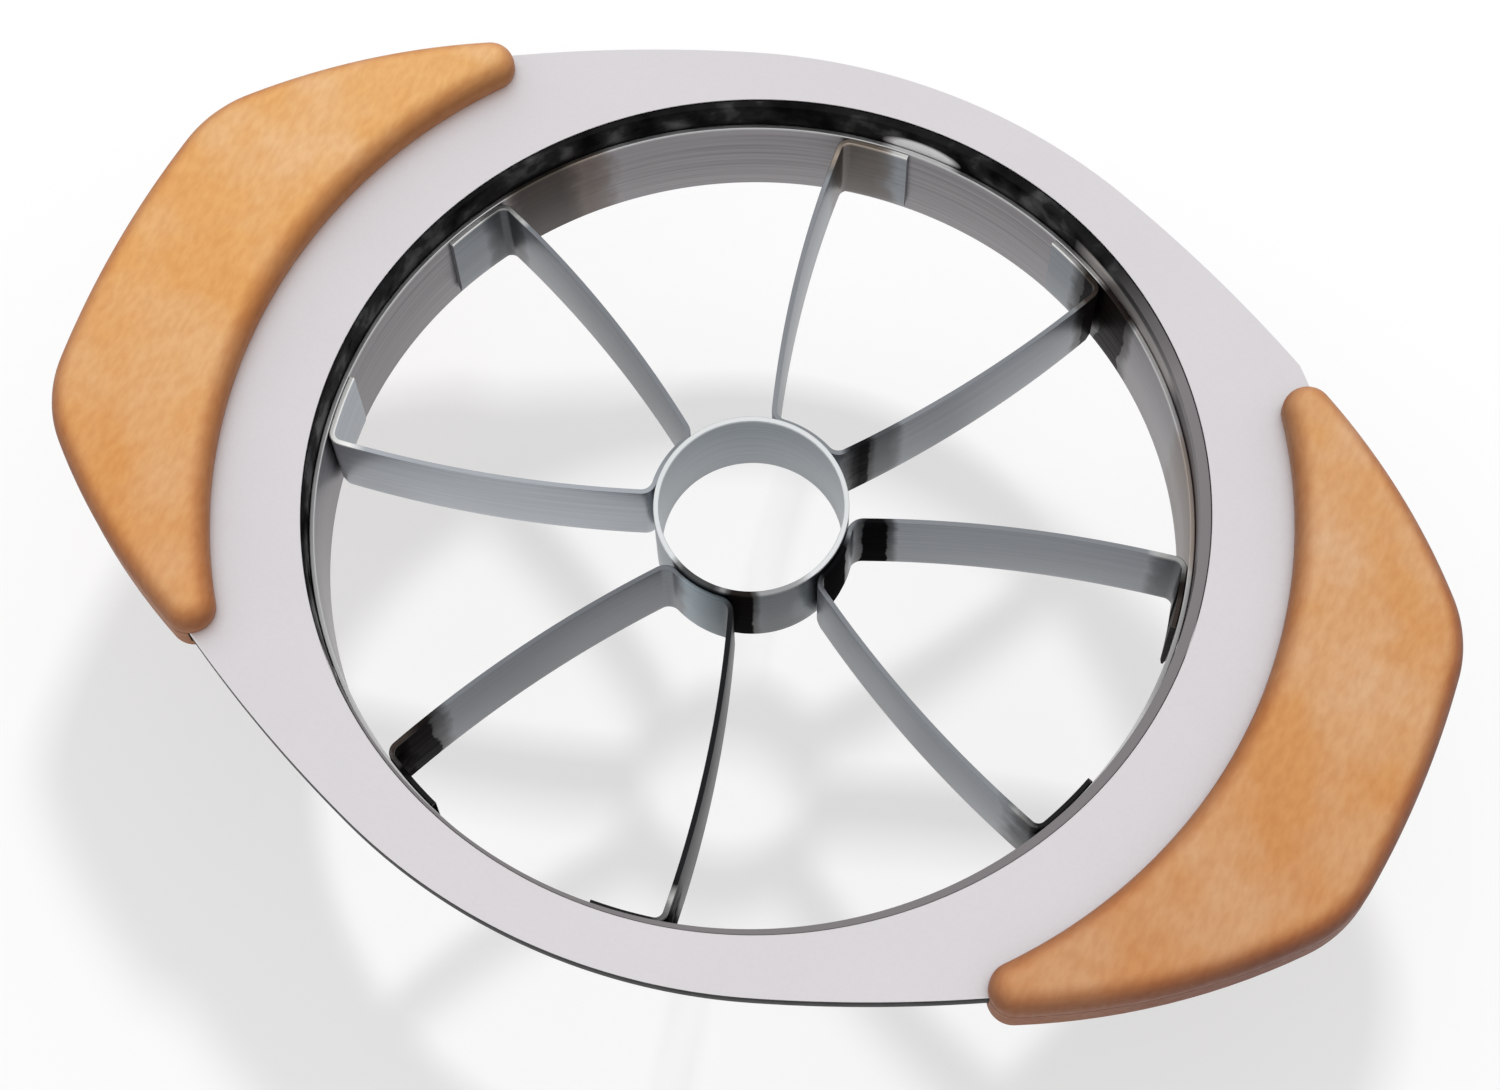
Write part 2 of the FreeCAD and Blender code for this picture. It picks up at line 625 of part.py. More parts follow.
def wood_screw():
    """Countersunk cross-head screw, head down, with its point in the upper half."""
    axis = (SCREW_X, "Sizes.screw_place")
    neck = f"{HANDLE_UNDERSIDE} + Sizes.screw_head_height"
    tip = f"{PLATE_TOP} + Sizes.screw_bite"
    shank_end = f"{tip} - Sizes.screw_point"
    head = solid("Part::Cone", "screw_head", (*axis, HANDLE_UNDERSIDE),
                 Radius1="Sizes.screw_head_radius", Radius2="Sizes.screw_radius",
                 Height="Sizes.screw_head_height")
    shank = solid("Part::Cylinder", "screw_shank", (*axis, neck),
                  Radius="Sizes.screw_radius", Height=f"{shank_end} - ({neck})")
    tip_cone = solid("Part::Cone", "screw_tip", (*axis, shank_end),
                     Radius1="Sizes.screw_radius", Radius2="Sizes.screw_point_radius",
                     Height="Sizes.screw_point")
    turned = doc.addObject("Part::MultiFuse", "screw_turned")
    turned.Shapes = [head, shank, tip_cone]
    slots = []
    for index, (length, width) in enumerate((("recess_length", "recess_width"),
                                             ("recess_width", "recess_length"))):
        corner = (f"{SCREW_X} - Sizes.{length} / 2",
                  f"Sizes.screw_place - Sizes.{width} / 2", HANDLE_UNDERSIDE)
        slots.append(solid("Part::Box", f"recess_{index}", corner,
                           Length=f"Sizes.{length}", Width=f"Sizes.{width}",
                           Height="Sizes.recess_depth"))
    recess = doc.addObject("Part::MultiFuse", "screw_recess")
    recess.Shapes = slots
    screw = doc.addObject("Part::Cut", "screw")
    screw.Base = turned
    screw.Tool = recess
    twin = doc.addObject("Part::Mirroring", "screw_twin")
    twin.Source = screw
    twin.Normal = FreeCAD.Vector(0, 1, 0)
    return [screw, twin]


def screw_pair(side, screws):
    """The two screws of one handle."""
    pair = doc.addObject("Part::Compound", "handle_screws_" + side)
    pair.Label = pair.Name
    pair.Links = screws
    turn(pair, DIRECTIONS[side])
    return pair


screws = wood_screw()
pieces = [
    frame_plate(),
    strip_band("blade_ring", "Sizes.ring_radius", "Sizes.ring_wall", FLOOR,
               "Sizes.ring_height"),
    collar(),
    strip_band("core_ring", "Sizes.core_radius", "Sizes.core_wall", "Sizes.core_lift",
               CORE_HEIGHT),
]
pieces += [blade_strip("blade_strip_" + side, "Sizes.turn_" + side)
           for side in ("right", "back", "left", "front")]
for side in ("right", "left"):
    pieces += [handle_top(side), handle_bottom(side), screw_pair(side, screws)]
doc.recompute()

faults = [item.Name for item in doc.Objects
          if "Invalid" in item.State or "Error" in item.State]
faults += [piece.Label for piece in pieces if piece.Shape.isNull() or not piece.Shape.isValid()]
if faults:
    raise ValueError("failed: " + ", ".join(faults))

os.makedirs("parts", exist_ok=True)
for piece in pieces:
    piece.Shape.exportStep(f"parts/{piece.Label}.step")
    box = piece.Shape.BoundBox
    print(f"{piece.Label:22} {len(piece.Shape.Solids)} solids {piece.Shape.Volume:9.1f} mm3"
          f"  x {box.XMin:7.2f} {box.XMax:7.2f}  y {box.YMin:7.2f} {box.YMax:7.2f}"
          f"  z {box.ZMin:6.2f} {box.ZMax:6.2f}")
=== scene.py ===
# %% [markdown]
# # An apple slicer with wooden handles
#
# The tool is pushed down over an apple: eight thin blades cut the wedges and a small ring
# in the middle cuts out the core. It is made of bent strip and sheet steel, with a
# crescent of beech on each end of its plate. The lesson first makes a finish for each
# steel and for the wood. Then it draws the steel with the spin operator and the wood as a
# bevelled outline, and holds the tool above a white table.

# %% Load the tools and the engineering model
import math

import bmesh
import bpy
from mathutils import Matrix, Vector


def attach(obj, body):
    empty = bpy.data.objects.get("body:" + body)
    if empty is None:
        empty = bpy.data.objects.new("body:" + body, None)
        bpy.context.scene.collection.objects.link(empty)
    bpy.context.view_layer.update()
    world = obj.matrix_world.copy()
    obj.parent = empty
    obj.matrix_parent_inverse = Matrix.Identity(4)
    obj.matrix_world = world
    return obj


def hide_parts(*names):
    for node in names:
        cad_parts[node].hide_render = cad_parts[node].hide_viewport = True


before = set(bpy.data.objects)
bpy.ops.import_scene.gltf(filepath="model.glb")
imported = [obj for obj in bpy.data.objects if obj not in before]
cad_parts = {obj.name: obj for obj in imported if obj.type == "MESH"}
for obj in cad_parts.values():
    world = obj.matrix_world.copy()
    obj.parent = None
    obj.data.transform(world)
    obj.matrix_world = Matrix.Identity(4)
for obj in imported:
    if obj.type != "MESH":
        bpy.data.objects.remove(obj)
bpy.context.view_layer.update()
MM = 0.001

# %% [markdown]
# ## Drawing with turns
#
# Every curve on this tool is a chain of arcs about upright axes: the bends in a blade
# strip, the crown of the plate, the crescent of a handle. The spin operator turns
# whatever it is given about a centre. Spinning one vertex draws an arc, and spinning a
# small cross-section draws a bent strip of even thickness, so a list of centres and
# angles is all the drawing that a piece needs. All lengths are in millimetres here, and
# a piece is scaled to metres when it is finished.

# %% A turn and a chain of turns
def turn(bm, section, centre, degrees, step):
    """Spin a section about an upright axis and return its last copy."""
    made = bmesh.ops.spin(bm, geom=section, cent=(*centre, 0), axis=(0, 0, 1),
                          angle=math.radians(degrees), use_duplicate=False,
                          steps=max(2, round(abs(degrees) / step)))
    return made["geom_last"]


def chain(bm, section, turns):
    """Spin a section through several turns, each one from where the last one ended."""
    for centre, degrees, step in turns:
        section = turn(bm, section, centre, degrees, step)
    return section


# %% [markdown]
# ## Finishing a piece
#
# Halves are mirrored and welded, the faces are turned outwards, and an edge sharper than
# a crease angle stays a hard edge while the rest is shaded smooth. Level faces stay flat,
# so that no shading runs in from their bevels. A real edge always catches a little light,
# so sharp edges get a narrow bevel first. At the end a piece is scaled to metres, hung on
# the tool's body and put in the place of the engineering piece that it replaces.

# %% Mirror and soften
SEAM_WELD = 0.001                # corners at a seam closer than this become one


def mirror(bm, axis):
    """Mirror everything in the middle plane across an axis and weld the seam."""
    bmesh.ops.mirror(bm, geom=bm.verts[:] + bm.edges[:] + bm.faces[:], axis=axis,
                     merge_dist=SEAM_WELD, matrix=Matrix())
    bmesh.ops.remove_doubles(bm, verts=bm.verts, dist=SEAM_WELD)


def soften(bm, width, segments=2, sharper_than=50, where=lambda edge: True):
    """Bevel the edges that are sharper than an angle."""
    bmesh.ops.recalc_face_normals(bm, faces=bm.faces)
    sharp = [edge for edge in bm.edges if len(edge.link_faces) == 2 and where(edge)
             and edge.calc_face_angle() > math.radians(sharper_than)]
    bmesh.ops.bevel(bm, geom=sharp, affect="EDGES", offset=width, segments=segments,
                    profile=0.5, material=-1, clamp_overlap=True)


# %% Finish
CORNER_WELD = 0.0005             # the same for the corners of a whole piece
LEVEL = 0.999                    # a level face's normal points up or down by at least this


def finish(name, bm, node, slot, *materials, crease=35):
    """Scale to metres, weld, shade and hang the piece on the tool's body."""
    bmesh.ops.remove_doubles(bm, verts=bm.verts, dist=CORNER_WELD)
    bmesh.ops.recalc_face_normals(bm, faces=bm.faces)
    for face in bm.faces:
        face.smooth = abs(face.normal.z) < LEVEL
    for edge in bm.edges:
        edge.smooth = not (edge.is_manifold
                           and edge.calc_face_angle() > math.radians(crease))
    bmesh.ops.scale(bm, vec=(MM, MM, MM), verts=bm.verts)
    open_edges = sum(not edge.is_manifold for edge in bm.edges)
    volume = bm.calc_volume(signed=True) / MM ** 3
    mesh = bpy.data.meshes.new(name)
    bm.to_mesh(mesh)
    bm.free()
    for material in materials:
        mesh.materials.append(material)
    piece = bpy.data.objects.new(name, mesh)
    bpy.context.collection.objects.link(piece)
    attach(piece, "root")
    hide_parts(node)
    print(f"{name}: {len(mesh.polygons)} faces, {open_edges} open edges, {volume:.0f} mm3")


# %% [markdown]
# ## A kit for finishes
#
# A finish is a chain of nodes. A pattern gives a value at each point, a ramp turns the
# value into a colour or a roughness, and a mix lays one colour over another. Each of these
# steps is a function here, so that a finish reads as a few lines. All of them work on the
# object's own coordinates, which start at the tool's axis, so a mark has its place in
# millimetres, and it carries on from one piece to the next.

# %% A material, a pattern and a ramp
def new_material(name):
    """New material; returns it with its nodes, its links and its main shader."""
    material = bpy.data.materials.new(name)
    material.use_nodes = True
    nodes, links = material.node_tree.nodes, material.node_tree.links
    return material, nodes, links, nodes["Principled BSDF"]


def tell(material):
    """Print a material's name and the number of its nodes."""
    print(f"{material.name}: {len(material.node_tree.nodes)} nodes")


def pattern(nodes, links, kind, scale, stretch=(1, 1, 1), **settings):
    """Texture on the object's own coordinates, in cells per metre, stretched per axis."""
    coordinates = nodes.new("ShaderNodeTexCoord")
    mapping = nodes.new("ShaderNodeMapping")
    mapping.inputs["Scale"].default_value = stretch
    texture = nodes.new(kind)
    texture.inputs["Scale"].default_value = scale
    for socket, value in settings.items():
        texture.inputs[socket].default_value = value
    links.new(coordinates.outputs["Object"], mapping.inputs["Vector"])
    links.new(mapping.outputs["Vector"], texture.inputs["Vector"])
    return texture


def grey(level):
    """The same level in red, green and blue."""
    return (level, level, level)


def ramp(nodes, links, source, stops):
    """Colour ramp from a texture's value; stops are (position, colour)."""
    node = nodes.new("ShaderNodeValToRGB")
    elements = node.color_ramp.elements
    while len(elements) < len(stops):
        elements.new(0.5)
    for element, (position, colour) in zip(elements, stops):
        element.position = position
        element.color = (*colour, 1)
    links.new(source, node.inputs["Fac"])
    return node.outputs["Color"]


def bump(nodes, links, shader, height, strength, distance):
    """Bump on the shader from a height; the distance is in metres."""
    node = nodes.new("ShaderNodeBump")
    node.inputs["Strength"].default_value = strength
    node.inputs["Distance"].default_value = distance
    links.new(height, node.inputs["Height"])
    links.new(node.outputs["Normal"], shader.inputs["Normal"])


# %% Places and lengths
RIGHTWARDS, BACKWARDS, UPWARDS = (1, 0, 0), (0, 1, 0), (0, 0, 1)


def along(nodes, links, direction):
    """How far a point of the object lies in a direction from the middle of the tool."""
    coordinates = nodes.new("ShaderNodeTexCoord")
    node = nodes.new("ShaderNodeVectorMath")
    node.operation = "DOT_PRODUCT"
    node.inputs[1].default_value = direction
    links.new(coordinates.outputs["Object"], node.inputs[0])
    return node.outputs["Value"]


def distance(nodes, links, point, axes):
    """Distance from a point in millimetres; an axis counts as much as its entry says."""
    coordinates = nodes.new("ShaderNodeTexCoord")
    flat = nodes.new("ShaderNodeVectorMath")
    flat.operation = "MULTIPLY"
    flat.inputs[1].default_value = axes
    node = nodes.new("ShaderNodeVectorMath")
    node.operation = "DISTANCE"
    node.inputs[1].default_value = [value * MM for value in point]
    links.new(coordinates.outputs["Object"], flat.inputs[0])
    links.new(flat.outputs["Vector"], node.inputs[0])
    return node.outputs["Value"]


def from_axis(nodes, links, x=0, y=0):
    """Distance from an upright axis, which is the tool's own if no place is given."""
    return distance(nodes, links, (x, y, 0), axes=(1, 1, 0))


def span(nodes, links, source, low, high, top=1.0):
    """Rise from 0 to the top while a length goes from low to high, in millimetres."""
    node = nodes.new("ShaderNodeMapRange")
    node.inputs["To Max"].default_value = top
    node.inputs["From Min"].default_value = low * MM
    node.inputs["From Max"].default_value = high * MM
    links.new(source, node.inputs["Value"])
    return node.outputs["Result"]


# %% Mixing colours
def times(nodes, links, first, second):
    """Product of two values."""
    node = nodes.new("ShaderNodeMath")
    node.operation = "MULTIPLY"
    links.new(first, node.inputs[0])
    links.new(second, node.inputs[1])
    return node.outputs["Value"]


def blend(nodes, links, kind, first, second, factor=1.0):
    """Mix two colours; the factor is a number or a socket."""
    node = nodes.new("ShaderNodeMix")
    node.data_type = "RGBA"
    node.blend_type = kind
    links.new(first, node.inputs["A"])
    links.new(second, node.inputs["B"])
    if isinstance(factor, float):
        node.inputs["Factor"].default_value = factor
    else:
        links.new(factor, node.inputs["Factor"])
    return node.outputs["Result"]


def lay_over(nodes, links, colour, tint, share):
    """Lay a plain tint over a colour, by a share between 0 and 1."""
    plain = nodes.new("ShaderNodeRGB")
    plain.outputs["Color"].default_value = (*tint, 1)
    return blend(nodes, links, "MIX", colour, plain.outputs["Color"], share)


# %% [markdown]
# ## Steel finishes
#
# The plate is satin stainless sheet, tumbled to an even pale sheen, and its punched edge
# is painted nearly black as painted shade. The strip that the rings and blades are made of
# comes rolled and is greyer, with fine lines along its length. All are metals in the
# shader: the colour is the metal's own, and the light and dark come from what it reflects,
# except where painted shade, painted light or a painted highlight is laid on below.

# %% Satin sheet for the plate
plate_steel, nodes, links, shader = new_material("satin sheet steel")
shader.inputs["Metallic"].default_value = 1.0
cloud = pattern(nodes, links, "ShaderNodeTexNoise", 60, Detail=3)
links.new(ramp(nodes, links, cloud.outputs["Fac"],
               [(0.3, (0.725, 0.70, 0.72)), (0.7, (0.74, 0.715, 0.735))]),
          shader.inputs["Base Color"])
tumble = pattern(nodes, links, "ShaderNodeTexNoise", 2500, Detail=4)
links.new(ramp(nodes, links, tumble.outputs["Fac"], [(0.3, grey(0.5)), (0.7, grey(0.58))]),
          shader.inputs["Roughness"])
bump(nodes, links, shader, tumble.outputs["Fac"], strength=0.05, distance=0.00002)
tell(plate_steel)

# %% The plate's punched edge, painted nearly black as shade
painted_shade_edge, nodes, links, shader = new_material("punched edge")
shader.inputs["Metallic"].default_value = 1.0
shader.inputs["Roughness"].default_value = 0.55
edge_mottle = pattern(nodes, links, "ShaderNodeTexNoise", 400, Detail=4)
# painted shade: the edge is nearly black, standing in for the dark it reflects
links.new(ramp(nodes, links, edge_mottle.outputs["Fac"], [(0.3, grey(0.01)), (0.7, grey(0.035))]),
          shader.inputs["Base Color"])
tell(painted_shade_edge)

# %% Screw steel
screw_steel, nodes, links, shader = new_material("screw steel")
shader.inputs["Metallic"].default_value = 1.0
speckle = pattern(nodes, links, "ShaderNodeTexNoise", 900, Detail=3)
links.new(ramp(nodes, links, speckle.outputs["Fac"], [(0.3, grey(0.52)), (0.7, grey(0.62))]),
          shader.inputs["Base Color"])
links.new(ramp(nodes, links, speckle.outputs["Fac"], [(0.3, grey(0.3)), (0.7, grey(0.42))]),
          shader.inputs["Roughness"])
tell(screw_steel)

# %% [markdown]
# ## Dark spots, painted shadow, a painted highlight and matt black
#
# The strips are darker in ragged spots of brown and black. One black spot beside a blade's
# bend is painted shadow, and one light spot on the front wrap is a painted highlight. Each
# of these marks is a soft spot about an upright axis, so it covers the strip's whole
# height, and a noise makes its edge ragged. A metal always shines a little when it is seen
# at a low angle, however dark it is, so the blackest marks are matt black instead, which
# isn't metal and reflects nothing.

# %% Spots, patches and matt black
RAGGED = 0.6                     # how far a spot's edge wavers, in radii of the spot
FADE_FROM, FADE_TO = 0.95, 1.55  # where its tint starts to fade and ends, in radii
HALF_FADED = 0.25                # how much of the tint is gone halfway through that
PATCH_CORE = 0.7                 # share of a patch's radius that has its full colour
MATT_BLACK_TO, METAL_FROM = 0.007, 0.02            # a colour up to the first is matt black, not metal


def tint_spots(nodes, links, colour, places):
    """Tint a colour in ragged patches over a strip's height: (x, y, radius, tint)."""
    ragged = pattern(nodes, links, "ShaderNodeTexNoise", 350, Detail=3)
    for x, y, radius, tint in places:
        waver = nodes.new("ShaderNodeMath")
        waver.operation = "MULTIPLY_ADD"
        waver.inputs[1].default_value = RAGGED * radius * MM
        links.new(ragged.outputs["Fac"], waver.inputs[0])
        links.new(from_axis(nodes, links, x, y), waver.inputs[2])
        far = span(nodes, links, waver.outputs["Value"], FADE_FROM * radius, FADE_TO * radius)
        halfway = [(1 - HALF_FADED) * value + HALF_FADED for value in tint]
        shade = ramp(nodes, links, far, [(0, tint), (0.5, halfway), (1, grey(1))])
        colour = blend(nodes, links, "MULTIPLY", colour, shade)
    return colour


def patch(nodes, links, colour, place, radius, tint, flatness=0):
    """Turn a colour into another one near a place; flatness 0 is the whole height."""
    x, y, z = place
    away = distance(nodes, links, (x, y, z * flatness), axes=(1, 1, flatness))
    near = span(nodes, links, away, radius, PATCH_CORE * radius)
    return lay_over(nodes, links, colour, tint, near)


def metal_or_matt_black(nodes, links, shader, colour):
    """Colour a metal; where its colour is nearly black it is a matt black that isn't metal."""
    links.new(colour, shader.inputs["Base Color"])
    links.new(ramp(nodes, links, colour, [(MATT_BLACK_TO, grey(0)), (METAL_FROM, grey(1))]),
              shader.inputs["Metallic"])
    shader.inputs["Specular IOR Level"].default_value = 0


# %% [markdown]
# ## Rolled strip
#
# Noise stretched along the strip gives the rolled lines. The walls all stand upright, so
# lines along a strip are lines at a constant height, and a pattern that changes fast with
# height and slowly sideways follows every bend by itself. The upper edge of a strip gets
# a painted highlight, but only beyond a radius, so the blades' edges stay dull. Each
# strip's two blades get their own painted levels of light and shade.

# %% Rolled strip for the rings and blades
LINES = (1, 1, 90)               # the rolled lines change this much faster with height
TONE_FADE = 3                    # half the width of the change between two tones
RIM_DEPTH = 0.4                  # how far down the painted highlight of a rim reaches
RIM_FADE = 2                     # how far inside its radius the painted highlight of a rim begins


def rolled_steel(name, dark, light, rim, rim_height, rim_inside, spots,
                 split=RIGHTWARDS, tones=(1.0, 1.0)):
    """Rolled strip steel: painted highlight on the upper edge outside a radius, spots partly
    painted shadow and highlight, two painted levels of light and shade.
    """
    material, nodes, links, shader = new_material(name)
    lines = pattern(nodes, links, "ShaderNodeTexNoise", 30, stretch=LINES, Detail=6)
    colour = ramp(nodes, links, lines.outputs["Fac"], [(0.3, dark), (0.7, light)])
    # painted light and shade: one level on each side of a line through the middle
    side = span(nodes, links, along(nodes, links, split), -TONE_FADE, TONE_FADE)
    tone = ramp(nodes, links, side, [(0, grey(tones[0])), (1, grey(tones[1]))])
    colour = blend(nodes, links, "MULTIPLY", colour, tone)
    # painted highlight along the top of the strip, outside a radius
    high = span(nodes, links, along(nodes, links, UPWARDS), rim_height - RIM_DEPTH, rim_height)
    outside = span(nodes, links, from_axis(nodes, links), rim_inside - RIM_FADE, rim_inside)
    colour = lay_over(nodes, links, colour, rim, times(nodes, links, high, outside))
    metal_or_matt_black(nodes, links, shader, tint_spots(nodes, links, colour, spots))
    links.new(ramp(nodes, links, lines.outputs["Fac"], [(0.3, grey(0.3)), (0.7, grey(0.42))]),
              shader.inputs["Roughness"])
    bump(nodes, links, shader, lines.outputs["Fac"], strength=0.25, distance=0.00003)
    tell(material)
    return material


# %% The marks, each with its place, its radius and its tint
MATT_BLACK, NEAR_BLACK, DARK = grey(0.02), grey(0.1), grey(0.35)
DARK_BROWN, BROWN = (0.055, 0.043, 0.038), (0.50, 0.42, 0.36)
PAINTED_GLINT = (1.7, 1.9, 1.95)        # painted highlight, lighter than the strip
BLADE_SPOTS = [
    (13.6, 3.3, 2.3, MATT_BLACK),
    # painted shadow beside the bend of a blade
    (11.6, -2.3, 3.2, MATT_BLACK),
    (8.3, 11.5, 1.9, NEAR_BLACK),
    (9.5, 13.3, 3.0, DARK),
    (25.0, 41.4, 3.4, DARK_BROWN),
    (-22.4, -39.4, 4.2, DARK_BROWN),
    (-18.4, -44.1, 5.0, MATT_BLACK),
    (6.2, -47.0, 5.5, MATT_BLACK),
    (44.8, -17.5, 5.5, MATT_BLACK),
    (46.0, 12.5, 3.0, DARK),
    (47.8, 8.5, 4.2, DARK_BROWN),
    (-8.5, 47.5, 4.5, BROWN),
    (-42.0, 23.5, 3.0, DARK),
    # painted highlight on the front wrap
    (-0.4, -11.4, 2.8, PAINTED_GLINT),
]
RING_SPOTS = [
    (-38.8, 29.4, 6.5, BROWN),
    (-39.8, 28.0, 4.0, DARK),
    (27.5, 40.0, 3.4, DARK_BROWN),
    (44.0, 20.6, 8.0, (0.72, 0.62, 0.55)),
    (48.6, 4.0, 7.0, grey(0.7)),
]
CORE_SPOTS = [
    (5.5, -9.5, 5.0, grey(0.45)),
    (-2.0, -10.8, 3.0, NEAR_BLACK),
    (3.4, -10.5, 1.8, DARK_BROWN),
]
print("marks:", len(BLADE_SPOTS), "on the strips,", len(RING_SPOTS), "on the outer ring,",
      len(CORE_SPOTS), "on the core ring")

# %% The finish of each strip
STRIP_TOP = 12.6
RING_TOP = 12.7
CORE_BOTTOM, CORE_HEIGHT = 2.0, 11.5
BRIGHT_FROM = 46                 # radius outside which the upper edges get a painted highlight
CORE_BRIGHT_FROM = 9             # the same for the core ring, so its whole edge gets it
STRIP_PAINTED_TONES = {                  # the direction of the change, and the painted levels of light and shade before and after
    "right": (BACKWARDS, (0.95, 0.98)),
    "back": (RIGHTWARDS, (1.0, 0.95)),
    "left": (BACKWARDS, (1.65, 0.92)),
    "front": (RIGHTWARDS, (0.73, 0.07)),
}
strip_finish = {}
# one copy of the finish for each strip, each with its own painted light and shade
for side, (split, tones) in STRIP_PAINTED_TONES.items():
    strip_finish[side] = rolled_steel(
        "strip steel, " + side, dark=(0.215, 0.23, 0.25), light=(0.29, 0.305, 0.325),
        rim=(0.95, 0.95, 0.93), rim_height=STRIP_TOP, rim_inside=BRIGHT_FROM,
        spots=BLADE_SPOTS, split=split, tones=tones)
ring_steel = rolled_steel(
    "rolled ring steel", dark=(0.19, 0.178, 0.188), light=(0.32, 0.305, 0.315),
    rim=grey(0.6), rim_height=RING_TOP, rim_inside=BRIGHT_FROM, spots=RING_SPOTS)
core_steel = rolled_steel(
    "rolled core steel", dark=(0.22, 0.245, 0.265), light=(0.31, 0.335, 0.36),
    rim=(0.75, 0.77, 0.78), rim_height=CORE_BOTTOM + CORE_HEIGHT, rim_inside=CORE_BRIGHT_FROM,
    spots=CORE_SPOTS)

# %% [markdown]
# ## The collar, painted black as shade
#
# The collar between the plate and the outer ring is painted black with a few greyer
# clouds, as painted shade in the gap between plate and ring. Its inner wall turns to a
# painted light grey to the right and has two painted patches of light at the back. The
# outside of its wall stays black. Its upper face is black behind and to the left, and
# painted light grey in front and to the right. The finish is mixed by place in that order.

# %% The collar's painted shade and painted light
COLLAR_TOP = 16.5
COLLAR_INSIDE = 49.25
# painted light greys for the inner wall and the upper face
PAINTED_LIGHT_INSIDE, PAINTED_LIGHT_ABOVE = (0.15, 0.13, 0.135), (0.24, 0.225, 0.23)
PAINTED_LIGHT_FROM, PAINTED_LIGHT_TO = 25, 45      # how far to the right the inner wall turns to painted light grey
SKIN_FROM, SKIN_TO = 0.05, 0.2   # how far behind its face the wall is black again
FACE_FROM, FACE_TO = 1.6, 1.1    # how far below the top the upper face begins
TO_THE_FRONT = (0.766, -0.643, 0)
FRONT_FADE = 8                   # half the width of the upper face's change to grey
dark_steel, nodes, links, shader = new_material("blackened steel")
shader.inputs["Roughness"].default_value = 0.5
clouds = pattern(nodes, links, "ShaderNodeTexNoise", 200, Detail=5)
# painted shade: black all round, with a few greyer clouds
black = ramp(nodes, links, clouds.outputs["Fac"],
             [(0.35, grey(0.005)), (0.55, grey(0.015)), (0.72, grey(0.09))])
painted_light_right = span(nodes, links, along(nodes, links, RIGHTWARDS), PAINTED_LIGHT_FROM, PAINTED_LIGHT_TO)
inner_wall = lay_over(nodes, links, black, PAINTED_LIGHT_INSIDE, painted_light_right)
# painted light on the inner wall, back right
inner_wall = patch(nodes, links, inner_wall, (30.3, 38.8, 0), radius=11.5,
                   tint=(0.44, 0.415, 0.40))
# painted highlight on the inner wall, at the back
inner_wall = patch(nodes, links, inner_wall, (-0.5, 49.2, 13.3), radius=5.0,
                   tint=grey(0.85), flatness=2.8)
outwards = span(nodes, links, from_axis(nodes, links), COLLAR_INSIDE + SKIN_FROM,
                COLLAR_INSIDE + SKIN_TO)
walls = blend(nodes, links, "MIX", inner_wall, black, outwards)
# painted light: the upper face turns grey in front and to the right
in_front = span(nodes, links, along(nodes, links, TO_THE_FRONT), -FRONT_FADE, FRONT_FADE)
upper_face = lay_over(nodes, links, black, PAINTED_LIGHT_ABOVE, in_front)
near_top = span(nodes, links, along(nodes, links, UPWARDS), COLLAR_TOP - FACE_FROM,
                COLLAR_TOP - FACE_TO)
metal_or_matt_black(nodes, links, shader, blend(nodes, links, "MIX", walls, upper_face, near_top))
tell(dark_steel)

# %% [markdown]
# ## The wood
#
# Beech has a warm even colour with slow changes of tone, a fine grain and short dashes,
# the rays. Three noises do it. The grain runs along the handle's length, which lies
# across the tool. Where a board is rounded over, the colour is painted darker with the
# drop below the top, and once more at the outer edge, as painted shade on the rounding.
# The front ends are painted a little darker and the back ends lighter, as painted shade
# and light from the lamp behind. The two handles are from different boards, the right
# one a little darker and redder.

# %% Oiled beech, two boards
HANDLE_TOP = 20.1
ROUNDED = 1.6                    # drop below the top at which the painted shade is darkest
FRONT_END, BACK_END = -42, 38    # painted shade darkest at the front ends, painted light lightest at the back ends
OUTER_FROM, OUTER_TO = 64, 75    # radii between which the outer edge gets more painted shade
SHADE_FROM, SHADE_TO = 0.36, 0.61            # noise below the first is a dark fibre


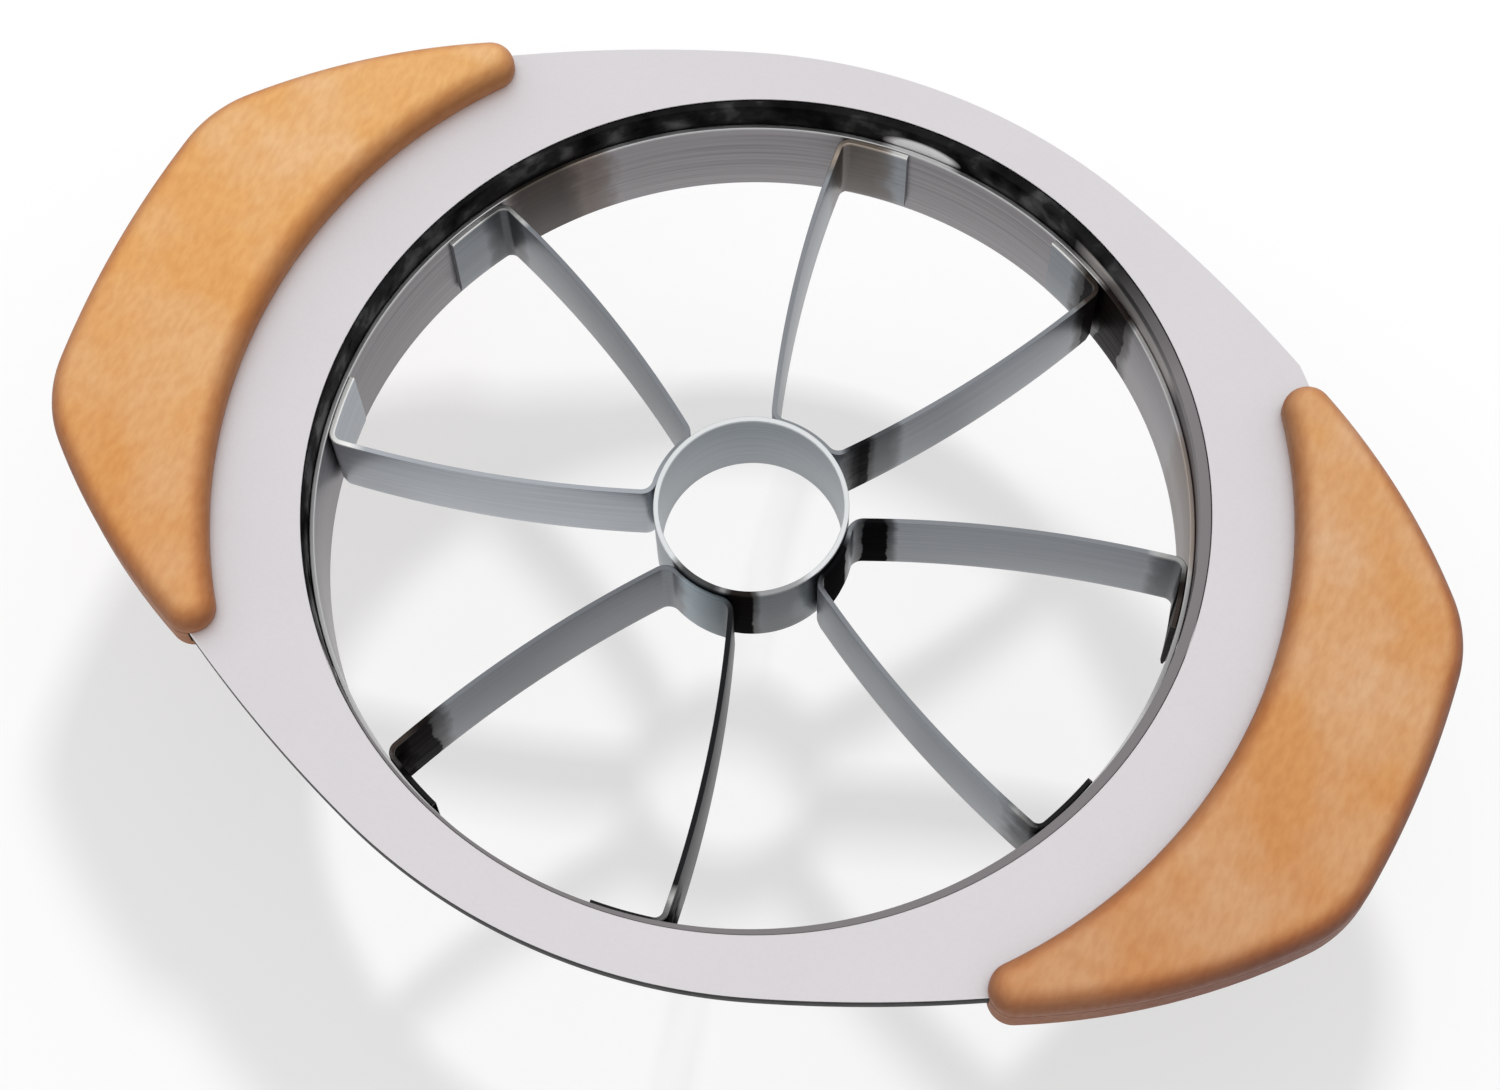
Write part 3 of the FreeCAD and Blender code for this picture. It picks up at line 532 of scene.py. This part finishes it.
def oiled_beech(name, rich, pale, shift, rim):
    """Beech with slow changes of tone, fine grain, painted shade on its rounded edges and more at
    its rim, painted light and shade from back to front.
    """
    material, nodes, links, shader = new_material(name)
    waves = pattern(nodes, links, "ShaderNodeTexNoise", 85, Detail=3)
    grain = pattern(nodes, links, "ShaderNodeTexNoise", 500, stretch=(1, 0.5, 1), Detail=5)
    rays = pattern(nodes, links, "ShaderNodeTexNoise", 1300, stretch=(1, 0.45, 1), Detail=3)
    for texture in (waves, grain, rays):
        texture.noise_dimensions = "4D"
        texture.inputs["W"].default_value = shift
    colour = ramp(nodes, links, waves.outputs["Fac"], [(0.4, rich), (0.62, pale)])
    for texture, tint in ((grain, (0.97, 0.93, 0.89)), (rays, (0.93, 0.88, 0.83))):
        shade = ramp(nodes, links, texture.outputs["Fac"],
                     [(SHADE_FROM, tint), (SHADE_TO, grey(1))])
        colour = blend(nodes, links, "MULTIPLY", colour, shade)
    # painted shade on the rounding, deeper with the drop below the top
    below_top = span(nodes, links, along(nodes, links, UPWARDS), HANDLE_TOP, HANDLE_TOP - ROUNDED)
    painted_edge_shade = ramp(nodes, links, below_top, [(0, grey(1)), (0.03, (0.96, 0.94, 0.92)),
                                         (0.11, (0.88, 0.80, 0.73)), (0.28, (0.73, 0.59, 0.48)),
                                         (0.6, (0.60, 0.45, 0.34)), (1, (0.50, 0.35, 0.24))])
    # painted light and shade: darker to the front, lighter to the back
    to_the_back = span(nodes, links, along(nodes, links, BACKWARDS), FRONT_END, BACK_END)
    painted_falloff = ramp(nodes, links, to_the_back, [(0, (0.85, 0.76, 0.68)), (0.5, (0.95, 0.95, 0.91)),
                                            (1, (1.0, 1.12, 1.3))])
    colour = blend(nodes, links, "MULTIPLY", colour, painted_falloff)
    colour = blend(nodes, links, "MULTIPLY", colour, painted_edge_shade)
    # more painted shade near the outer edge
    outside = span(nodes, links, from_axis(nodes, links), OUTER_FROM, OUTER_TO, top=rim)
    links.new(blend(nodes, links, "MULTIPLY", colour, painted_edge_shade, outside), shader.inputs["Base Color"])
    links.new(ramp(nodes, links, rays.outputs["Fac"], [(0.3, grey(0.62)), (0.7, grey(0.5))]),
              shader.inputs["Roughness"])
    bump(nodes, links, shader, rays.outputs["Fac"], strength=0.15, distance=0.00004)
    tell(material)
    return material


beech_right = oiled_beech("beech, right board", rich=(0.60, 0.28, 0.095),
                          pale=(0.64, 0.365, 0.19), shift=3.0, rim=0.9)
beech_left = oiled_beech("beech, left board", rich=(0.71, 0.355, 0.115),
                         pale=(0.74, 0.43, 0.205), shift=8.0, rim=0.25)

# %% [markdown]
# ## The plate
#
# The plate is punched from thick sheet. One quarter of its outline is drawn with two arcs
# and two straight runs, and mirrored twice. The outline and the round hole have the same
# number of corners, so a bridge joins them with even faces. The sheet is then given its
# thickness, and the punched edge its painted shade.

# %% The plate's outline and hole
PLATE_TOP = 16.7
HALF_WIDTH = 55.7
CROWN_ARC = ((0, -12), 20.2)     # an arc's centre, and how far it turns
FLANK_ARC = ((-35.3240, -108.0078), 9.7315)
TANG_END, TANG_HALF = 70.5, 17
HOLE = 50.05
HOLE_CENTRE = (0.4, 0.3)         # the hole isn't quite in the middle
CROWN, FLANK, TAPER, END = 26, 30, 25, 15    # corners in each stretch of a quarter
CORNERS = 4 * (CROWN + FLANK + TAPER + END)


def clockwise(arc, steps):
    """A turn that draws an arc clockwise in a number of steps."""
    centre, degrees = arc
    return centre, -degrees, degrees / steps


def vertices(items):
    """The vertices among the items that an operator made."""
    return [item for item in items if isinstance(item, bmesh.types.BMVert)]


def straight(bm, vertex, end, steps):
    """Draw a straight run from a vertex in even steps."""
    start = vertex.co.copy()
    for index in range(1, steps + 1):
        made = bmesh.ops.extrude_vert_indiv(bm, verts=[vertex])
        vertex = made["verts"][0]
        vertex.co = start.lerp(Vector((*end, start.z)), index / steps)
    return vertex


bm = bmesh.new()
crown = bmesh.ops.create_vert(bm, co=(0, HALF_WIDTH, PLATE_TOP))["vert"]
flank = chain(bm, crown, [clockwise(CROWN_ARC, CROWN), clockwise(FLANK_ARC, FLANK)])
tang = straight(bm, vertices(flank)[0], (TANG_END, TANG_HALF), TAPER)
straight(bm, tang, (TANG_END, 0), END)
mirror(bm, "X")
mirror(bm, "Y")
outline = bm.edges[:]
hole = bmesh.ops.create_circle(bm, segments=CORNERS, radius=HOLE,
                               matrix=Matrix.Translation((*HOLE_CENTRE, PLATE_TOP)))["verts"]
hole = list({edge for vertex in hole for edge in vertex.link_edges})
bmesh.ops.bridge_loops(bm, edges=hole + outline)
print("plate:", len(outline), "corners outside,", len(hole), "round the hole")

# %% The plate's thickness
PLATE_THICK = 2.2
SHEET_EASE = 0.12                # bevel of a punched or rolled edge
UNDERSIDE, UPPER_BEVEL = -0.95, 0.3          # the punched edge's normals lie between them


def thicken(bm, height):
    """Raise all faces by a height and wall them in; a negative height sinks them."""
    made = bmesh.ops.extrude_face_region(bm, geom=bm.faces[:])["geom"]
    bmesh.ops.translate(bm, vec=(0, 0, height), verts=vertices(made))


thicken(bm, -PLATE_THICK)
soften(bm, SHEET_EASE)
# the punched edge's faces take the painted shade
for face in bm.faces:
    face.material_index = int(UNDERSIDE < face.normal.z < UPPER_BEVEL)
finish("plate", bm, "frame_plate", "plate", plate_steel, painted_shade_edge)

# %% [markdown]
# ## The rings and the collar
#
# A strip bent into a closed ring is its cross-section spun right round. The section's
# corners are eased before the spin, which costs less than bevelling the ring after it.
# The collar fills the step between ring and plate. It is round the ring on its inside and
# round the hole on its outside, so it is thicker on one side than on the other.

# %% The outer ring and the core ring
STRIP_THICK = 0.6
FULL_TURN = 360
LARGE_CIRCLE, SMALL_CIRCLE = 360, 160        # steps in a full turn


def upright_section(bm, middle, bottom, top):
    """Cross-section of a strip that stands on edge, its middle at a radius."""
    bmesh.ops.create_grid(bm, x_segments=1, y_segments=1, size=0.5)
    bmesh.ops.rotate(bm, verts=bm.verts, matrix=Matrix.Rotation(math.radians(90), 3, "X"))
    bmesh.ops.scale(bm, verts=bm.verts, vec=(STRIP_THICK, 1, top - bottom))
    bmesh.ops.translate(bm, verts=bm.verts, vec=(middle, 0, (bottom + top) / 2))


def ring(name, node, material, inside, bottom, top, steps):
    """Closed ring of strip, standing on edge."""
    bm = bmesh.new()
    upright_section(bm, inside + STRIP_THICK / 2, bottom, top)
    bmesh.ops.bevel(bm, geom=bm.verts[:], affect="VERTICES", offset=SHEET_EASE, segments=3,
                    profile=0.5, material=-1)
    bmesh.ops.delete(bm, geom=bm.faces[:], context="FACES_ONLY")
    bmesh.ops.spin(bm, geom=bm.verts[:] + bm.edges[:], cent=(0, 0, 0), axis=(0, 0, 1),
                   angle=math.radians(FULL_TURN), steps=steps, use_merge=True)
    finish(name, bm, node, "strip_steel", material)


ring("outer_ring", "blade_ring", ring_steel, inside=48.6, bottom=0, top=RING_TOP,
     steps=LARGE_CIRCLE)
ring("corer", "core_ring", core_steel, inside=10.3, bottom=CORE_BOTTOM,
     top=CORE_BOTTOM + CORE_HEIGHT, steps=SMALL_CIRCLE)

# %% The collar
COLLAR_HEIGHT = 7.3
COLLAR_GAP = 0.05                # between the collar and the wall of the hole
COLLAR_EASE = 0.05
bm = bmesh.new()
for radius, centre in ((COLLAR_INSIDE, (0, 0)), (HOLE - COLLAR_GAP, HOLE_CENTRE)):
    bmesh.ops.create_circle(bm, segments=LARGE_CIRCLE, radius=radius,
                            matrix=Matrix.Translation((*centre, COLLAR_TOP)))
bmesh.ops.bridge_loops(bm, edges=bm.edges[:])
thicken(bm, -COLLAR_HEIGHT)
soften(bm, COLLAR_EASE)
finish("dark_collar", bm, "collar", "dark_steel", dark_steel)

# %% [markdown]
# ## The blade strips
#
# One strip makes two blades: tab, blade, wrap round the core ring, blade, tab. The blades
# are bowed a little, which keeps them from buckling. The section has a ground foot, the
# cutting edge. It starts at the middle of the wrap and is spun through five turns to the
# end of a tab; the other half is its mirror image.

# %% One folded strip, used four times
EDGE = 1.1                       # height of the cutting edge above the ring's foot
GROUND = 1.2                     # height of the ground foot
GROUND_SHARE = 1 / 3             # share of the thickness that is left at the cutting edge
STRIP_EASE = 0.1                 # bevel of the strip's upper corners
WRAP = 11.25                     # radius of the wrap, middle of the strip
STRIP_TURNS = [                  # centre, degrees, and degrees in a step
    ((0, 0), 15.166, 1.5),
    ((12.4025, 3.3618), -76.6194, 7),
    ((78.5401, -118.2128), -14.2017, 0.6),
    ((44.1512, 16.2597), -84.1276, 7),
    ((0, 0), -8.2172, 0.8),
]
STRIP_ANGLES = {"right": -4.8, "back": 80.2, "left": 172.5, "front": 261.8}


def turn_whole(bm, degrees):
    """Turn everything about the tool's axis."""
    bmesh.ops.rotate(bm, verts=bm.verts, cent=(0, 0, 0),
                     matrix=Matrix.Rotation(math.radians(degrees), 3, "Z"))


def blade_strip(side, degrees):
    """Folded strip, turned to its place round the core ring."""
    bm = bmesh.new()
    upright_section(bm, WRAP, EDGE, STRIP_TOP)
    bmesh.ops.bevel(bm, geom=[vertex for vertex in bm.verts if vertex.co.z > STRIP_TOP - 1],
                    affect="VERTICES", offset=STRIP_EASE, segments=2, profile=0.5,
                    material=-1)
    bmesh.ops.bisect_plane(bm, geom=bm.verts[:] + bm.edges[:] + bm.faces[:],
                           plane_co=(0, 0, EDGE + GROUND), plane_no=(0, 0, 1))
    bmesh.ops.scale(bm, verts=[vertex for vertex in bm.verts if vertex.co.z < EDGE + 0.1],
                    vec=(GROUND_SHARE, 1, 1), space=Matrix.Translation((-WRAP, 0, 0)))
    bmesh.ops.dissolve_faces(bm, faces=bm.faces[:])
    section = bm.edges[:] + bm.verts[:]
    bmesh.ops.delete(bm, geom=bm.faces[:], context="FACES_ONLY")
    tab_end = chain(bm, section, STRIP_TURNS)
    bmesh.ops.edgeloop_fill(bm, edges=[item for item in tab_end
                                       if isinstance(item, bmesh.types.BMEdge)])
    mirror(bm, "Y")
    turn_whole(bm, degrees)
    finish("strip_" + side, bm, "blade_strip_" + side, "strip_steel", strip_finish[side])


for side, degrees in STRIP_ANGLES.items():
    blade_strip(side, degrees)

# %% [markdown]
# ## The handles
#
# Each handle is a crescent in two halves with the end of the plate held between them.
# They are shaped by hand, so the two ends of a handle differ a little. An end is five
# arcs from the middle of the inner edge to the middle of the outer one. The two ends are
# drawn one after the other and welded, the outline is filled and raised to the half's
# thickness, and its upper edge is rounded over with a wide bevel, as a router does.

# %% The four ends, each as arcs from the inner edge to the outer
INNER_EDGE = (59.5, 0)
HANDLE_ENDS = {                  # centre, degrees, and degrees in a step
    "right_back": [((0.5, 0), 33.1563, 0.8), ((52.2378, 33.8), -152.9255, 7),
                   ((14.5033, -32.1705), -19.6117, 0.6), ((62.855, 9.3), -35.1401, 1.5),
                   ((-34.1, 0), -5.4791, 0.5)],
    "right_front": [((0.5, 0), 39.9706, 0.8), ((47.8619, 39.7), -156.4808, 7),
                    ((13.9388, -28.309), -23.0618, 0.6), ((62.4285, 13.0), -32.7579, 1.5),
                    ((-34.1, 0), -7.6702, 0.5)],
    "left_back": [((0.5, 0), 36.5461, 0.8), ((50.1488, 36.8), -154.4095, 7),
                  ((14.629, -30.3889), -21.0198, 0.6), ((62.6187, 11.5), -34.3361, 1.5),
                  ((-34.1, 0), -6.7807, 0.5)],
    "left_front": [((0.5, 0), 37.2417, 0.8), ((49.6984, 37.4), -150.774, 7),
                   ((19.3542, -32.2795), -18.6808, 0.6), ((62.1536, 14.9), -38.9874, 1.5),
                   ((-34.1, 0), -8.7995, 0.5)],
}
print("handles:", len(HANDLE_ENDS), "ends of", len(HANDLE_ENDS["right_back"]), "arcs")

# %% The upper half of a handle
ROUNDING = 2.4                   # bevel of the upper edge
HANDLE_EASE = 0.15               # bevel of the lower edge, next to the plate
NEAR = 0.01                      # how close a corner is to a level, or to its double


def upper_handle(side, material, mirrored_end, plain_end, degrees):
    """Crescent of wood on the plate, rounded over at its top, then turned to its side."""
    bm = bmesh.new()
    for end in (mirrored_end, plain_end):
        start = bmesh.ops.create_vert(bm, co=(*INNER_EDGE, PLATE_TOP))["vert"]
        chain(bm, start, HANDLE_ENDS[side + "_" + end])
        if end == mirrored_end:
            bmesh.ops.scale(bm, verts=bm.verts, vec=(1, -1, 1))
    bmesh.ops.remove_doubles(bm, verts=bm.verts, dist=NEAR)
    bmesh.ops.edgeloop_fill(bm, edges=bm.edges[:])
    thicken(bm, HANDLE_TOP - PLATE_TOP)
    soften(bm, ROUNDING, segments=10, where=lambda edge: all(
        vertex.co.z > HANDLE_TOP - NEAR for vertex in edge.verts))
    soften(bm, HANDLE_EASE, where=lambda edge: all(
        vertex.co.z < PLATE_TOP + NEAR for vertex in edge.verts))
    turn_whole(bm, degrees)
    finish("upper_handle_" + side, bm, "handle_top_" + side, "handle_wood", material)


upper_handle("right", beech_right, "front", "back", degrees=0)
upper_handle("left", beech_left, "back", "front", degrees=180)

# %% [markdown]
# ## The carried-over pieces
#
# The lower halves of the handles and the screws in them are hidden or nearly so. They are
# right as the engineering model has them, so they stay as they are and take a finish.

# %% Finish the carried-over pieces
def repaint(node, material):
    """Give an engineering node its finish."""
    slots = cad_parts[node].material_slots
    for slot in slots:
        slot.material = material
    print(node, "takes", material.name)


for side, wood in (("right", beech_right), ("left", beech_left)):
    repaint("handle_bottom_" + side, wood)
    repaint("handle_screws_" + side, screw_steel)

# %% [markdown]
# ## Floor, light and camera
#
# The slicer is held a little above a white table, so that its shadow falls soft and
# apart from it. One soft lamp stands behind the tool, and the room is an even white. The
# table and the room look whiter than they light the tool, directly and in the steel.

# %% Table
TABLE = -25.0                    # the table's height
TABLE_REACH = 2.0                # from its middle to an edge, in metres
WHITENESS = 0.5                  # share of plain white in what is seen of the table


def seen_directly(nodes, links):
    """One for what the camera sees, also mirrored in metal or through glass, else zero."""
    path = nodes.new("ShaderNodeLightPath")
    either = path.outputs["Is Camera Ray"]
    for ray in ("Is Glossy Ray", "Is Transmission Ray"):
        node = nodes.new("ShaderNodeMath")
        node.operation = "MAXIMUM"
        links.new(either, node.inputs[0])
        links.new(path.outputs[ray], node.inputs[1])
        either = node.outputs["Value"]
    return either


bm = bmesh.new()
bmesh.ops.create_grid(bm, x_segments=1, y_segments=1, size=TABLE_REACH)
bmesh.ops.translate(bm, verts=bm.verts, vec=(0, 0, TABLE * MM))
table_mesh = bpy.data.meshes.new("table")
bm.to_mesh(table_mesh)
bm.free()
table = bpy.data.objects.new("table", table_mesh)
bpy.context.collection.objects.link(table)
table_paint, nodes, links, shader = new_material("white table")
shader.inputs["Base Color"].default_value = (0.9, 0.9, 0.9, 1)
shader.inputs["Roughness"].default_value = 0.6
white = nodes.new("ShaderNodeEmission")
white.inputs["Color"].default_value = (1, 1, 1, 1)
share = nodes.new("ShaderNodeMath")
share.operation = "MULTIPLY"
share.inputs[1].default_value = WHITENESS
links.new(seen_directly(nodes, links), share.inputs[0])
mixed = nodes.new("ShaderNodeMixShader")
links.new(share.outputs["Value"], mixed.inputs["Fac"])
links.new(shader.outputs["BSDF"], mixed.inputs[1])
links.new(white.outputs["Emission"], mixed.inputs[2])
links.new(mixed.outputs["Shader"], nodes["Material Output"].inputs["Surface"])
table_mesh.materials.append(table_paint)
tell(table_paint)

# %% Room
ROOM_LIGHT, ROOM_WHITE = 0.67, 1.0           # how it lights the tool, and how it looks
world = bpy.data.worlds.new("studio")
bpy.context.scene.world = world
world.use_nodes = True
nodes, links = world.node_tree.nodes, world.node_tree.links
room = nodes["Background"]
room.inputs["Color"].default_value = (1, 1, 1, 1)
strength = nodes.new("ShaderNodeMapRange")
strength.inputs["To Min"].default_value = ROOM_LIGHT
strength.inputs["To Max"].default_value = ROOM_WHITE
links.new(seen_directly(nodes, links), strength.inputs["Value"])
links.new(strength.outputs["Result"], room.inputs["Strength"])
print("room:", ROOM_LIGHT, "on the tool,", ROOM_WHITE, "when it is seen")

# %% Lamp
def soft_lamp(name, place, size, power):
    """Square soft lamp, in metres and watts, that faces the tool and isn't mirrored."""
    lamp = bpy.data.lights.new(name, "AREA")
    lamp.shape = "SQUARE"
    lamp.size = size
    lamp.energy = power
    light = bpy.data.objects.new(name, lamp)
    light.location = place
    light.rotation_euler = (-Vector(place)).to_track_quat("-Z", "Y").to_euler()
    light.visible_glossy = False
    bpy.context.collection.objects.link(light)
    print(f"{name}: {Vector(place).length:.2f} m away, {power} W")


soft_lamp("lamp", place=(-0.16, 0.64, 0.98), size=0.15, power=8)

# %% Camera
AZIMUTH, ELEVATION, ROLL = 26.20, 66.14, -1.87
DISTANCE = 329.8                 # from the middle of the plate's upper face
PAN_UP, PAN_ACROSS = 0.986, -0.016           # degrees off that point
SENSOR, LENS = 36, 72
az, el, roll = (math.radians(angle) for angle in (AZIMUTH, ELEVATION, ROLL))
back = Vector((math.sin(az) * math.cos(el), -math.cos(az) * math.cos(el), math.sin(el)))
right = Vector((math.cos(az), math.sin(az), 0))
up = back.cross(right)
look = Matrix((math.cos(roll) * right + math.sin(roll) * up,
               math.cos(roll) * up - math.sin(roll) * right, back))
tilt = (Matrix.Rotation(math.radians(PAN_UP), 3, "X")
        @ Matrix.Rotation(math.radians(PAN_ACROSS), 3, "Y"))
camera_data = bpy.data.cameras.new("camera")
camera_data.sensor_width = SENSOR
camera_data.lens = LENS
camera_data.clip_start = 0.01
camera = bpy.data.objects.new("camera", camera_data)
stand = Vector((0, 0, PLATE_TOP * MM)) + back * (DISTANCE * MM)
camera.matrix_world = Matrix.Translation(stand) @ (tilt @ look).transposed().to_4x4()
bpy.context.collection.objects.link(camera)
bpy.context.scene.camera = camera
bpy.context.scene.view_settings.view_transform = "Standard"
print("camera:", [round(value / MM) for value in stand], "mm")
